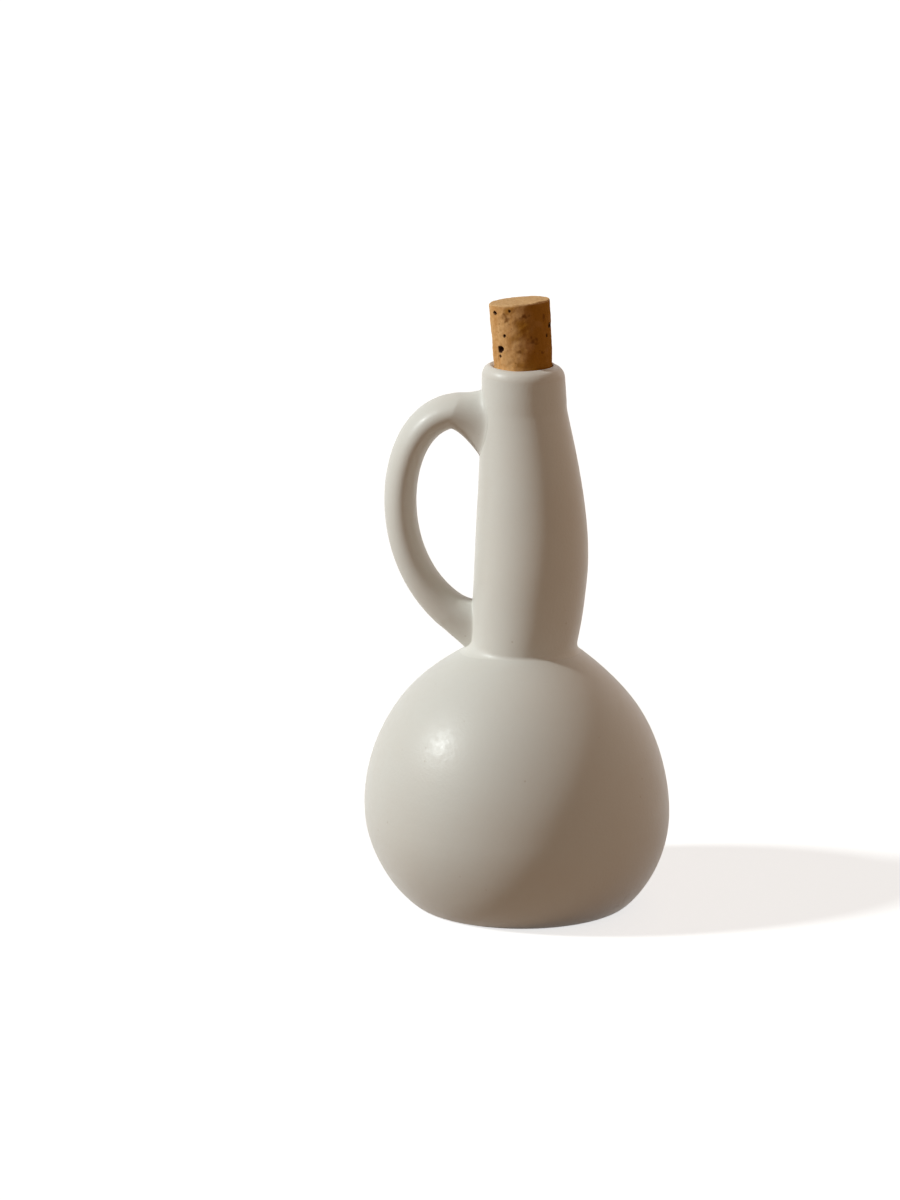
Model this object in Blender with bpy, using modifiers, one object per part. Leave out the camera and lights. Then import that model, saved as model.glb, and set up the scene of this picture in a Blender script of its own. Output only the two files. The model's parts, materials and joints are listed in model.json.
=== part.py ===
"""Oil carafe: a thrown stoneware globe with a bellied neck, a pulled loop handle and a natural cork.

Metres, +Z up. The origin is the centre of the foot, on the table. The handle is on -X and the neck's
belly on +X. The neck and the handle are luted on, with a film of slip between them and what carries them.
"""
from math import cos, pi, radians, sin, tan

import bmesh
import bpy
import numpy as np
from mathutils import Matrix, Vector

# Globe, turned about the Z axis; each pull is the length of a curve's tangent
GLOBE_RADIUS = 0.0564
EQUATOR_HEIGHT = 0.0345
UPPER_PULL = 0.0400
LOWER_PULL = 0.0188
SHOULDER_RADIUS = 0.0194    # inside it the top is pared level, as the neck's seat
SHOULDER_HEIGHT = 0.0965
SHOULDER_SLOPE = radians(39)
SHOULDER_PULL = 0.0103
FOOT_RADIUS = 0.0400
FOOT_SLOPE = radians(33)
FOOT_PULL = 0.0051
FOOT_RING = 0.0075          # width of the ring that meets the table
FOOT_RECESS = 0.0018        # depth of the turned recess inside that ring
GLOBE_WALL = 0.0050
FLOOR_THICKNESS = 0.0060

# Cork, turned about its own axis, which leans towards the handle
CORK_TOP_DIAMETER = 0.0218
CORK_FOOT_DIAMETER = 0.0201
CORK_SHOWING = 0.0241       # length above the mouth
CORK_SEATED = 0.0142        # length inside the mouth
CORK_EDGE = 0.0005          # rounding of its two edges
CORK_LEAN = radians(3.8)
CORK_GAP = 0.0003           # between the cork and its socket

# Neck: level circles that span a back and a front outline, both measured from the globe's axis
NECK_HEIGHT = 0.1040        # from the shoulder to the mouth
NECK_WALL = 0.0045
NECK_BACK = 0.0174          # back outline at the neck's foot
NECK_BACK_PULL = 0.0144     # the back outline bends towards this distance half way up
NECK_FRONT = 0.0217         # front outline at the neck's foot
NECK_FRONT_LEAN = radians(9)
NECK_FRONT_PULL = 0.0122
BELLY_FRONT = 0.0253
BELLY_HEIGHT = 0.0320       # above the shoulder
BELLY_PULL_DOWN = 0.0090
BELLY_PULL_UP = 0.0260
COLLAR_DROP = 0.0125        # below the mouth
COLLAR_FLARE = 0.0007       # how far the collar's front stands out past the mouth's
COLLAR_PULL = 0.0036
MOUTH_OFFSET = 0.0016       # the mouth's centre, from the globe's axis towards the front
LIP_WALL = 0.0042
LIP_ROUND = 0.0024          # outer edge of the lip
MOUTH_ROUND = 0.0016        # inner edge of the lip

# Handle: an oval strap along a curve in the XZ plane, both ends running into the neck's back
HANDLE_THICKNESS = 0.0114
HANDLE_WIDTH = 0.0190
HANDLE_REACH = 0.0438       # outermost point of the centre line, from the globe's axis
HANDLE_SIDE_HEIGHT = 0.0546     # of that point, above the shoulder
HANDLE_SIDE_PULL_UP = 0.0135
HANDLE_SIDE_PULL_DOWN = 0.0237
HANDLE_CREST_REACH = 0.0252     # highest point of the centre line, from the globe's axis
HANDLE_CREST_DROP = 0.0171      # below the mouth
HANDLE_CREST_PULL = 0.0117
HANDLE_CREST_THICKNESS = 0.0134
HANDLE_TOP_DROP = 0.0203        # where the centre line meets the neck's back, below the mouth
HANDLE_TOP_PULL = 0.0040
HANDLE_TOP_THICKNESS = 0.0225   # flare at the upper root
HANDLE_FOOT_RISE = 0.0072       # where the centre line meets the neck's back, above the shoulder
HANDLE_FOOT_SLOPE = radians(34)
HANDLE_FOOT_PULL = 0.0193
HANDLE_FOOT_THICKNESS = 0.0146
HANDLE_FOOT_WIDTH = 0.0160
HANDLE_ROOT_DEPTH = 0.0060      # how far each end runs on behind the neck's surface before it is cut

# Film of slip between luted pieces
SLIP = 0.0003

# Facets
SIDES = 48
CURVE_POINTS = 11
NECK_RINGS = 15
LIP_RINGS = 4
SOCKET_RINGS = 3
BORE_RINGS = 9
HANDLE_STEPS = 8
HANDLE_SIDES = 24
CORK_SIDES = 40

# Colours, as linear red, green and blue, with the roughness of each surface
GLAZE = ((0.66, 0.62, 0.54), 0.42)
CORK = ((0.47, 0.26, 0.10), 0.85)

MOUTH_HEIGHT = SHOULDER_HEIGHT + NECK_HEIGHT
CORK_LENGTH = CORK_SHOWING + CORK_SEATED
CORK_TAPER = (CORK_TOP_DIAMETER - CORK_FOOT_DIAMETER) / CORK_LENGTH
SOCKET_RADIUS = (CORK_TOP_DIAMETER - CORK_TAPER * CORK_SHOWING) / 2 + CORK_GAP
MOUTH_RADIUS = SOCKET_RADIUS + LIP_WALL
HOLE_RADIUS = NECK_BACK - NECK_WALL     # hole in the globe's top, inside the neck's bore all round
# The neck's foot starts below the globe's surface all round, and is cut back to it
NECK_FOOT_HEIGHT = SHOULDER_HEIGHT - NECK_FRONT * tan(SHOULDER_SLOPE)
MERGE = 1e-6


def bezier(start, start_pull, end_pull, end, count):
    """Points of a cubic curve from start to end, both included, drawn towards the two pull points."""
    t = np.linspace(0, 1, count)[:, None]
    start, start_pull, end_pull, end = (np.array(point) for point in (start, start_pull, end_pull, end))
    return (1 - t)**3 * start + 3 * t * (1 - t)**2 * start_pull + 3 * t**2 * (1 - t) * end_pull + t**3 * end


def globe_outline(grow=0.0):
    """Outer profile of the globe as (radius, height) points, from the neck's seat down to the foot."""
    shoulder = np.array((SHOULDER_RADIUS, SHOULDER_HEIGHT))
    equator = np.array((GLOBE_RADIUS, EQUATOR_HEIGHT))
    foot = np.array((FOOT_RADIUS, 0.0))
    down_shoulder = np.array((cos(SHOULDER_SLOPE), -sin(SHOULDER_SLOPE)))
    up_foot = np.array((cos(FOOT_SLOPE), sin(FOOT_SLOPE)))
    upper = bezier(shoulder, shoulder + SHOULDER_PULL * down_shoulder,
                   equator + (0, UPPER_PULL), equator, CURVE_POINTS)
    lower = bezier(equator, equator - (0, LOWER_PULL), foot + FOOT_PULL * up_foot, foot, CURVE_POINTS)
    outline = np.vstack((upper, lower[1:]))
    along = np.gradient(outline, axis=0)
    along /= np.linalg.norm(along, axis=1)[:, None]
    outward = np.column_stack((-along[:, 1], along[:, 0]))
    return outline + grow * outward


def neck_back(height):
    """Distance of the neck's back outline behind the globe's axis."""
    t = (height - SHOULDER_HEIGHT) / NECK_HEIGHT
    top = MOUTH_RADIUS - MOUTH_OFFSET
    return (1 - t)**2 * NECK_BACK + 2 * t * (1 - t) * NECK_BACK_PULL + t**2 * top


def neck_front(height):
    """Distance of the neck's front outline in front of the globe's axis."""
    foot = np.array((NECK_FRONT, SHOULDER_HEIGHT))
    belly = np.array((BELLY_FRONT, SHOULDER_HEIGHT + BELLY_HEIGHT))
    mouth = np.array((MOUTH_OFFSET + MOUTH_RADIUS, MOUTH_HEIGHT))
    collar = mouth + (COLLAR_FLARE, -COLLAR_DROP)
    foot_lean = np.array((sin(NECK_FRONT_LEAN), cos(NECK_FRONT_LEAN)))
    lower = bezier(foot, foot + NECK_FRONT_PULL * foot_lean, belly - (0, BELLY_PULL_DOWN), belly, SIDES)
    upper = bezier(belly, belly + (0, BELLY_PULL_UP), collar - (0, COLLAR_PULL), collar, SIDES)
    outline = np.vstack((lower, upper[1:], mouth))
    return np.interp(height, outline[:, 1], outline[:, 0])


def neck_section(height):
    """Centre, along X, and radius of the neck's level circle at a height."""
    back, front = neck_back(height), neck_front(height)
    return (front - back) / 2, (front + back) / 2


def cork_point(depth):
    """Point of the cork's axis at a depth below the mouth."""
    return Vector((MOUTH_OFFSET + depth * sin(CORK_LEAN), 0, MOUTH_HEIGHT - depth * cos(CORK_LEAN)))


def neck_outer_rings(grow=0.0):
    """Rings of the neck's outside, from inside the globe up and over the lip's rounding."""
    rings = []
    lip_start = MOUTH_HEIGHT - LIP_ROUND
    for height in np.linspace(NECK_FOOT_HEIGHT, lip_start, NECK_RINGS):
        centre, radius = neck_section(height)
        rings.append((Vector((centre, 0, height)), radius + grow, 0.0))
    for angle in np.linspace(0, pi / 2, LIP_RINGS + 1)[1:]:
        height = lip_start + LIP_ROUND * sin(angle)
        centre, radius = neck_section(height)
        rings.append((Vector((centre, 0, height)), radius + grow - LIP_ROUND * (1 - cos(angle)), 0.0))
    return rings


def neck_inner_rings():
    """Rings of the neck's inside, from the lip's inner rounding down the cork's socket and the bore."""
    rings = []
    for angle in np.linspace(pi / 2, 0, LIP_RINGS + 1):
        depth = MOUTH_ROUND * (1 - sin(angle))
        radius = SOCKET_RADIUS - CORK_TAPER * depth / 2 + MOUTH_ROUND * (1 - cos(angle))
        rings.append((cork_point(depth), radius, -CORK_LEAN))
    for depth in np.linspace(MOUTH_ROUND, CORK_SEATED + CORK_GAP, SOCKET_RINGS)[1:]:
        rings.append((cork_point(depth), SOCKET_RADIUS - CORK_TAPER * depth / 2, -CORK_LEAN))
    bore_top = MOUTH_HEIGHT - CORK_SEATED - NECK_WALL
    for height in np.linspace(bore_top, NECK_FOOT_HEIGHT, BORE_RINGS):
        centre, radius = neck_section(height)
        rings.append((Vector((centre, 0, height)), radius - NECK_WALL, 0.0))
    return rings


def loft(rings, closed, sides=SIDES):
    """A mesh of circles joined in turn; closed joins the last to the first, else both ends are capped.

    A ring's fourth value, where it has one, stretches its circle along Y.
    """
    mesh = bmesh.new()
    edges = []
    for centre, radius, tilt, *stretch in rings:
        matrix = Matrix.Translation(centre) @ Matrix.Rotation(tilt, 4, "Y")
        if stretch:
            matrix = matrix @ Matrix.Scale(stretch[0], 4, (0, 1, 0))
        verts = bmesh.ops.create_circle(mesh, segments=sides, radius=radius, matrix=matrix)["verts"]
        edges.append(list({edge for vert in verts for edge in vert.link_edges}))
    pairs = list(zip(edges, edges[1:]))
    if closed:
        pairs.append((edges[-1], edges[0]))
    for lower, upper in pairs:
        bmesh.ops.bridge_loops(mesh, edges=lower + upper)
    if not closed:
        bmesh.ops.holes_fill(mesh, edges=mesh.edges)
    bmesh.ops.recalc_face_normals(mesh, faces=mesh.faces)
    return mesh


def material(name, look):
    """A Principled material of one colour and roughness."""
    colour, roughness = look
    result = bpy.data.materials.new(name)
    result.use_nodes = True
    shader = result.node_tree.nodes["Principled BSDF"]
    shader.inputs["Base Color"].default_value = (*colour, 1)
    shader.inputs["Roughness"].default_value = roughness
    shader.inputs["Metallic"].default_value = 0
    return result


def add_object(name, mesh, collection, look=None):
    """An object around a finished bmesh, shaded smooth, with its own material."""
    data = bpy.data.meshes.new(name)
    mesh.to_mesh(data)
    mesh.free()
    data.shade_smooth()
    data.set_sharp_from_angle(angle=radians(35))
    obj = bpy.data.objects.new(name, data)
    if look:
        data.materials.append(material(name, look))
    collection.objects.link(obj)
    return obj


def turn(obj):
    """Turn a profile about the Z axis."""
    screw = obj.modifiers.new("turn", "SCREW")
    screw.steps = SIDES
    screw.render_steps = SIDES
    screw.use_merge_vertices = True
    screw.merge_threshold = MERGE
    screw.use_smooth_shade = True


def profile_mesh(points):
    """A chain of edges in the XZ plane through (radius, height) points."""
    mesh = bmesh.new()
    verts = [mesh.verts.new((radius, 0, height)) for radius, height in points]
    for first, second in zip(verts, verts[1:]):
        mesh.edges.new((first, second))
    return mesh


def combine(obj, operation, other):
    """Cut another object's shape away from an object, or join it on."""
    boolean = obj.modifiers.new(other.name, "BOOLEAN")
    boolean.operation = operation
    boolean.object = other


def as_cutter(obj):
    """Hide a cutter from the finished model."""
    obj.hide_render = True
    obj.display_type = "WIRE"
    return obj


def make_globe(collection):
    """The hollow globe: its profile runs up the inside, over the seat and down to the foot."""
    outer = globe_outline()
    inner = globe_outline(-GLOBE_WALL)
    floor = FOOT_RECESS + FLOOR_THICKNESS
    inside = (inner[:, 0] > HOLE_RADIUS) & (inner[:, 1] > floor)
    wall = inner[inside]
    floor_radius = np.interp(floor, inner[::-1, 1], inner[::-1, 0])
    hole = [(HOLE_RADIUS, SHOULDER_HEIGHT - GLOBE_WALL), (HOLE_RADIUS, SHOULDER_HEIGHT)]
    recess_radius = FOOT_RADIUS - FOOT_RING
    points = [(0, floor), (floor_radius, floor), *wall[::-1], *hole, *outer,
              (recess_radius, 0), (recess_radius - FOOT_RECESS, FOOT_RECESS), (0, FOOT_RECESS)]
    globe = add_object("globe_body", profile_mesh(points), collection, GLAZE)
    turn(globe)
    return globe


def make_globe_envelope(collection):
    """The globe's outside grown by the film of slip, closed over its hole."""
    outline = globe_outline(SLIP)
    seat = SHOULDER_HEIGHT + SLIP
    points = [(0, seat), (SHOULDER_RADIUS, seat), *outline, (0, outline[-1, 1])]
    envelope = add_object("globe_envelope", profile_mesh(points), collection)
    turn(envelope)
    return as_cutter(envelope)


def make_neck(collection, globe_envelope):
    """The bellied tube, with the cork's socket in its mouth and its foot coped to the globe."""
    mesh = loft(neck_outer_rings() + neck_inner_rings(), closed=True)
    neck = add_object("neck", mesh, collection, GLAZE)
    combine(neck, "DIFFERENCE", globe_envelope)
    return neck


def make_vessel_envelope(collection, globe_envelope):
    """The neck's outside grown by the film of slip, as a solid joined to the globe's envelope."""
    mesh = loft(neck_outer_rings(SLIP), closed=False)
    envelope = add_object("vessel_envelope", mesh, collection)
    combine(envelope, "UNION", globe_envelope)
    return as_cutter(envelope)


def handle_points():
    """Centre line of the handle: each point with its two tangents, as (x, z), its thickness and width."""
    top_height = MOUTH_HEIGHT - HANDLE_TOP_DROP
    foot_height = SHOULDER_HEIGHT + HANDLE_FOOT_RISE
    top = np.array((HANDLE_ROOT_DEPTH - neck_back(top_height), top_height))
    crest = np.array((-HANDLE_CREST_REACH, MOUTH_HEIGHT - HANDLE_CREST_DROP))
    side = np.array((-HANDLE_REACH, SHOULDER_HEIGHT + HANDLE_SIDE_HEIGHT))
    foot_in = np.array((cos(HANDLE_FOOT_SLOPE), -sin(HANDLE_FOOT_SLOPE)))
    foot = np.array((-neck_back(foot_height), foot_height))
    root = foot + HANDLE_ROOT_DEPTH * foot_in
    outwards = np.array((-1, 0))
    upwards = np.array((0, 1))
    return [
        (top, top - HANDLE_TOP_PULL * outwards, top + HANDLE_TOP_PULL * outwards, HANDLE_TOP_THICKNESS,
         HANDLE_WIDTH),
        (crest, crest - HANDLE_TOP_PULL * outwards, crest + HANDLE_CREST_PULL * outwards,
         HANDLE_CREST_THICKNESS, HANDLE_WIDTH),
        (side, side + HANDLE_SIDE_PULL_UP * upwards, side - HANDLE_SIDE_PULL_DOWN * upwards,
         HANDLE_THICKNESS, HANDLE_WIDTH),
        (root, foot - HANDLE_FOOT_PULL * foot_in, root + HANDLE_FOOT_PULL * foot_in,
         HANDLE_FOOT_THICKNESS, HANDLE_FOOT_WIDTH),
    ]


def handle_rings():
    """Ovals across the handle's centre line, from the upper root to the lower one, for loft."""
    centres, sizes = [], []
    points = handle_points()
    share = np.linspace(0, 1, HANDLE_STEPS + 1)[:, None]
    for (start, _, leave, *start_size), (end, arrive, _, *end_size) in zip(points, points[1:]):
        centres.append(bezier(start, leave, arrive, end, HANDLE_STEPS + 1)[:-1])
        sizes.append(((1 - share) * start_size + share * end_size)[:-1])
    centres = np.vstack((*centres, points[-1][0]))
    sizes = np.vstack((*sizes, points[-1][3:]))
    heading = np.gradient(centres, axis=0)
    tilts = np.arctan2(heading[:, 0], heading[:, 1])
    return [(Vector((x, 0, z)), thickness / 2, tilt, width / thickness)
            for (x, z), (thickness, width), tilt in zip(centres, sizes, tilts)]


def make_handle(collection, vessel_envelope):
    """The oval strap, cut where its ends run into the neck and the globe."""
    mesh = loft(handle_rings(), closed=False, sides=HANDLE_SIDES)
    handle = add_object("handle", mesh, collection, GLAZE)
    combine(handle, "DIFFERENCE", vessel_envelope)
    return handle


def make_cork(collection):
    """The tapered stopper, on an empty at the mouth that leans with it."""
    seat = bpy.data.objects.new("cork_seat", None)
    seat.location = cork_point(0)
    seat.rotation_euler = (0, -CORK_LEAN, 0)
    collection.objects.link(seat)
    mesh = bmesh.new()
    middle = Matrix.Translation((0, 0, (CORK_SHOWING - CORK_SEATED) / 2))
    bmesh.ops.create_cone(mesh, cap_ends=True, segments=CORK_SIDES, radius1=CORK_FOOT_DIAMETER / 2,
                          radius2=CORK_TOP_DIAMETER / 2, depth=CORK_LENGTH, matrix=middle)
    cork = add_object("cork_stopper", mesh, collection, CORK)
    cork.parent = seat
    bevel = cork.modifiers.new("worn_edges", "BEVEL")
    bevel.width = CORK_EDGE
    bevel.segments = 2
    return cork


def main():
    for obj in list(bpy.data.objects):
        bpy.data.objects.remove(obj)
    carafe = bpy.data.collections.new("oil_carafe")
    cutters = bpy.data.collections.new("cutters")
    for collection in (carafe, cutters):
        bpy.context.scene.collection.children.link(collection)
    globe_envelope = make_globe_envelope(cutters)
    make_globe(carafe)
    make_neck(carafe, globe_envelope)
    make_handle(carafe, make_vessel_envelope(cutters, globe_envelope))
    make_cork(carafe)


main()
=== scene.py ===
import json
from math import cos, pi, radians, sin, sqrt, tan

import bpy
import numpy as np
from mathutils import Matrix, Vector


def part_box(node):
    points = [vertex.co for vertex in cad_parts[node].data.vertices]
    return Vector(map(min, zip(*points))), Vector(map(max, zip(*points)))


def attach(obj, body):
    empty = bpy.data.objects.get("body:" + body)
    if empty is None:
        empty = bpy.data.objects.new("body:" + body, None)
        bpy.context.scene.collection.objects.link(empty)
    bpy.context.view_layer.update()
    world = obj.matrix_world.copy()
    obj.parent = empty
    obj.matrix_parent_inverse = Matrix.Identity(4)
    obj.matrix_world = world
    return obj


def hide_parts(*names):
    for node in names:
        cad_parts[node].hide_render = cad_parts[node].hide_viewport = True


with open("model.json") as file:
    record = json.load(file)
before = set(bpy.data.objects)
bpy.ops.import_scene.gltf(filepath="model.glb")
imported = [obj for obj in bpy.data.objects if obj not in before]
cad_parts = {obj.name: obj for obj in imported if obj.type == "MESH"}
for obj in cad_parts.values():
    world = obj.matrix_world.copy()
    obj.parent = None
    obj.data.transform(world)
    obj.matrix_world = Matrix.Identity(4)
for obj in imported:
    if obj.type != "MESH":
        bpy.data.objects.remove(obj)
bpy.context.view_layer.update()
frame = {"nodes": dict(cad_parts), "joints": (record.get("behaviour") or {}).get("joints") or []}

globeLow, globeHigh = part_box("globe_body")
neckLow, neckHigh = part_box("neck")
seatHeight = globeHigh.z        # the pared top of the globe, which the neck stands on
mouthHeight = neckHigh.z
corkAxis = np.array(frame["joints"][0]["axis"])
print("frame:", ", ".join(sorted(frame["nodes"])))

# Camera: the photograph is 900 x 1200 pixels, and aimPixel is where the aim point lies in it
camera = {"aim": (0, 0, 0.110), "azimuth": radians(8), "elevation": radians(13.88), "distance": 1.8,
          "focalPixels": 4904.6, "aimPixel": (519.0, 609.6), "middle": (450, 600), "tall": 1200,
          "sensor": 36}


def viewAxes(azimuth, elevation):
    # Unit vectors of a view from that side: to the right, up, and back towards the viewer
    right = Vector((cos(azimuth), sin(azimuth), 0))
    back = Vector((sin(azimuth) * cos(elevation), -cos(azimuth) * cos(elevation), sin(elevation)))
    return right, back.cross(right), back


def addCamera():
    # Stands on the back axis from the aim point, then turns off it by the aim point's pixel offset
    right, up, back = viewAxes(camera["azimuth"], camera["elevation"])
    offRight = (camera["aimPixel"][0] - camera["middle"][0]) / camera["focalPixels"]
    offDown = (camera["aimPixel"][1] - camera["middle"][1]) / camera["focalPixels"]
    data = bpy.data.cameras.new("camera")
    data.sensor_width = camera["sensor"]
    data.lens = camera["focalPixels"] * camera["sensor"] / camera["tall"]
    holder = bpy.data.objects.new("camera", data)
    holder.location = Vector(camera["aim"]) + back * camera["distance"]
    holder.rotation_mode = "QUATERNION"
    holder.rotation_quaternion = (up * offDown - right * offRight - back).to_track_quat("-Z", "Y")
    bpy.context.scene.collection.objects.link(holder)
    bpy.context.scene.camera = holder


addCamera()
print("camera placed")


# Shared shapes

def cubic(start, startPull, endPull, end, count=200):
    # Cubic curve: the four points weighted by (1-t)^3, 3t(1-t)^2, 3t^2(1-t) and t^3
    t = np.linspace(0, 1, count)[:, None]
    start, startPull, endPull, end = (np.array(p, float) for p in (start, startPull, endPull, end))
    return (1 - t)**3 * start + 3 * t * (1 - t)**2 * startPull + 3 * t**2 * (1 - t) * endPull + t**3 * end


def corner(start, middle, end, count=60):
    # Rounded corner: a parabola from start to end whose tangents meet in the middle point
    t = np.linspace(0, 1, count)[:, None]
    start, middle, end = (np.array(p, float) for p in (start, middle, end))
    return (1 - t)**2 * start + 2 * t * (1 - t) * middle + t**2 * end


def evenly(curve, count):
    # The same curve with its points at even steps of its length
    length = np.append(0, np.cumsum(np.linalg.norm(np.diff(curve, axis=0), axis=1)))
    share = np.linspace(0, length[-1], count)
    return np.stack([np.interp(share, length, column) for column in curve.T], -1)


def smooth(value, low, high):
    # Eased step: 0 at low, 1 at high, 3t^2 - 2t^3 between
    t = np.clip((value - low) / (high - low), 0, 1)
    return t * t * (3 - 2 * t)


def ripple(points, wavelength, seed, waves=18):
    # Smooth noise of about unit size: cosines of that wavelength in seeded random directions, added up
    rng = np.random.default_rng(seed)
    directions = rng.normal(size=(waves, 3))
    directions /= np.linalg.norm(directions, axis=1)[:, None]
    directions *= 2 * pi / wavelength * rng.uniform(0.6, 1.4, (waves, 1))
    phases = rng.uniform(0, 2 * pi, waves)
    return np.cos(points @ directions.T + phases).sum(-1) * sqrt(2 / waves)


def around(steps):
    # Angles of one ring, from +X anticlockwise
    return np.linspace(0, 2 * pi, steps, endpoint=False)


def skinOver(rings, joined):
    # Four-sided faces between neighbouring rings. A joined stack runs on from its last ring to its first;
    # any other is closed by a fan of triangles to the middle of each end ring
    count, steps = rings.shape[:2]
    index = np.arange(count * steps).reshape(count, steps)
    near = index if joined else index[:-1]
    far = np.roll(index, -1, 0) if joined else index[1:]
    faces = np.stack((near, np.roll(near, -1, 1), np.roll(far, -1, 1), far), -1).reshape(-1, 4).tolist()
    points = rings.reshape(-1, 3)
    if not joined:
        points = np.vstack((points, rings[0].mean(0), rings[-1].mean(0)))
        first, last = np.full(steps, count * steps), np.full(steps, count * steps + 1)
        faces += np.stack((np.roll(index[0], -1), index[0], first), -1).tolist()
        faces += np.stack((index[-1], np.roll(index[-1], -1), last), -1).tolist()
    return points, faces


def addPiece(name, rings, material, marks, joined=False):
    # A mesh over the rings, shaded smooth; marks are values for each point that the material reads by name
    points, faces = skinOver(rings, joined)
    mesh = bpy.data.meshes.new(name)
    mesh.from_pydata(points.tolist(), [], faces)
    mesh.polygons.foreach_set("use_smooth", np.ones(len(faces), bool))
    for markName, values in marks.items():
        values = np.broadcast_to(values, rings.shape[:2])
        ends = [] if joined else [values[0].mean(), values[-1].mean()]
        mark = mesh.attributes.new(markName, "FLOAT", "POINT")
        mark.data.foreach_set("value", np.append(values.ravel(), ends).astype(np.float32))
    mesh.materials.append(material)
    mesh.update()
    piece = bpy.data.objects.new(name, mesh)
    bpy.context.scene.collection.objects.link(piece)
    print(name, len(faces), "faces")
    return piece


# Materials

def nodeMaker(tree):
    # Adds a node with its settings; an input given as a socket is linked, any other is set
    def make(kind, inputs=None, **settings):
        node = tree.nodes.new("ShaderNode" + kind)
        for name, value in settings.items():
            setattr(node, name, value)
        for name, value in (inputs or {}).items():
            if isinstance(value, bpy.types.NodeSocket):
                tree.links.new(value, node.inputs[name])
            else:
                node.inputs[name].default_value = value
        return node
    return make


def newGroup(name, inputs, outputs):
    # An empty shader group with the named sockets, its node maker and its two ends
    tree = bpy.data.node_groups.new(name, "ShaderNodeTree")
    for direction, sockets in (("INPUT", inputs), ("OUTPUT", outputs)):
        for socketName, kind in sockets.items():
            tree.interface.new_socket(socketName, in_out=direction, socket_type="NodeSocket" + kind)
    ends = tree.nodes.new("NodeGroupInput"), tree.nodes.new("NodeGroupOutput")
    return tree, nodeMaker(tree), ends[0].outputs, ends[1].inputs


def blotchGroup():
    # Soft blotches: noise of the given fineness, spread from low to high, as a mask from 0 to 1
    inputs = {"Place": "Vector", "Fineness": "Float", "Low": "Float", "High": "Float"}
    tree, make, given, result = newGroup("blotches", inputs, {"Mask": "Float"})
    noise = make("TexNoise", {"Vector": given["Place"], "Scale": given["Fineness"], "Detail": 4.0})
    spread = make("MapRange", {"Value": noise.outputs["Fac"], "From Min": given["Low"],
                               "From Max": given["High"]}, interpolation_type="SMOOTHSTEP")
    tree.links.new(spread.outputs["Result"], result["Mask"])
    return tree


def speckGroup():
    # Scattered specks: the middles of cells, in the share of cells whose own random value is low enough
    inputs = {"Place": "Vector", "Fineness": "Float", "Size": "Float", "Share": "Float"}
    tree, make, given, result = newGroup("specks", inputs, {"Mask": "Float"})
    cells = make("TexVoronoi", {"Vector": given["Place"], "Scale": given["Fineness"]})
    chance = make("SeparateColor", {"Color": cells.outputs["Color"]})
    chosen = make("Math", {0: chance.outputs["Red"], 1: given["Share"]}, operation="LESS_THAN")
    middle = make("MapRange", {"Value": cells.outputs["Distance"], "From Min": given["Size"],
                               "From Max": 0.0}, interpolation_type="SMOOTHSTEP")
    both = make("Math", {0: chosen.outputs[0], 1: middle.outputs["Result"]}, operation="MULTIPLY")
    tree.links.new(both.outputs[0], result["Mask"])
    return tree


blotches, specks = blotchGroup(), speckGroup()


def mask(make, group, place, values):
    # The mask of one of these groups at a place, with its values
    return make("Group", {"Place": place, **values}, node_tree=group).outputs["Mask"]


def blend(make, share, first, second):
    # Colour that goes from first to second with the share
    mix = make("Mix", data_type="RGBA")
    for socket, value in ((mix.inputs[0], share), (mix.inputs[6], first), (mix.inputs[7], second)):
        if isinstance(value, bpy.types.NodeSocket):
            mix.id_data.links.new(value, socket)
        else:
            socket.default_value = value
    return mix.outputs[2]


def sums(make, *terms):
    # Weighted sum: each term is a value and its weight
    total = None
    for value, weight in terms:
        node = make("Math", {0: value, 1: weight, 2: total if total else 0.0}, operation="MULTIPLY_ADD")
        total = node.outputs[0]
    return total


def newMaterial(name):
    # A new material, its node maker and its shader
    material = bpy.data.materials.new(name)
    material.use_nodes = True
    tree = material.node_tree
    return material, nodeMaker(tree), tree.nodes["Principled BSDF"]


def connect(shader, sockets):
    # Links each value to the shader's socket of that name
    for name, value in sockets.items():
        shader.id_data.links.new(value, shader.inputs[name])


# Glaze: colours, gloss, the masks' values and how strongly each mask shows in the colour and in the height
glaze = {"colour": (0.69, 0.682, 0.640), "warm": (0.67, 0.63, 0.570), "thin": (0.65, 0.60, 0.54),
         "speck": (0.42, 0.34, 0.25, 1), "clay": (0.50, 0.36, 0.25, 1), "roughness": 0.42,
         "roughnessSpread": 0.05, "clayRoughness": 0.85, "gloss": 0.29, "coat": 0.03, "coatRoughness": 0.20,
         "cloud": {"Fineness": 38.0, "Low": 0.36, "High": 0.72}, "cloudWarmth": 0.30,
         "fine": {"Fineness": 420.0, "Low": 0.30, "High": 0.75}, "fineWarmth": 0.10,
         "dots": {"Fineness": 210.0, "Size": 0.13}, "dotStrength": 0.45, "dotHeight": -0.3,
         "peelFineness": 950, "peelHeight": 1.0, "lineFineness": (60, 60, 1500), "lineHeight": 0.18,
         "bumpStrength": 0.5, "bumpDepth": 0.00010}


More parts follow.
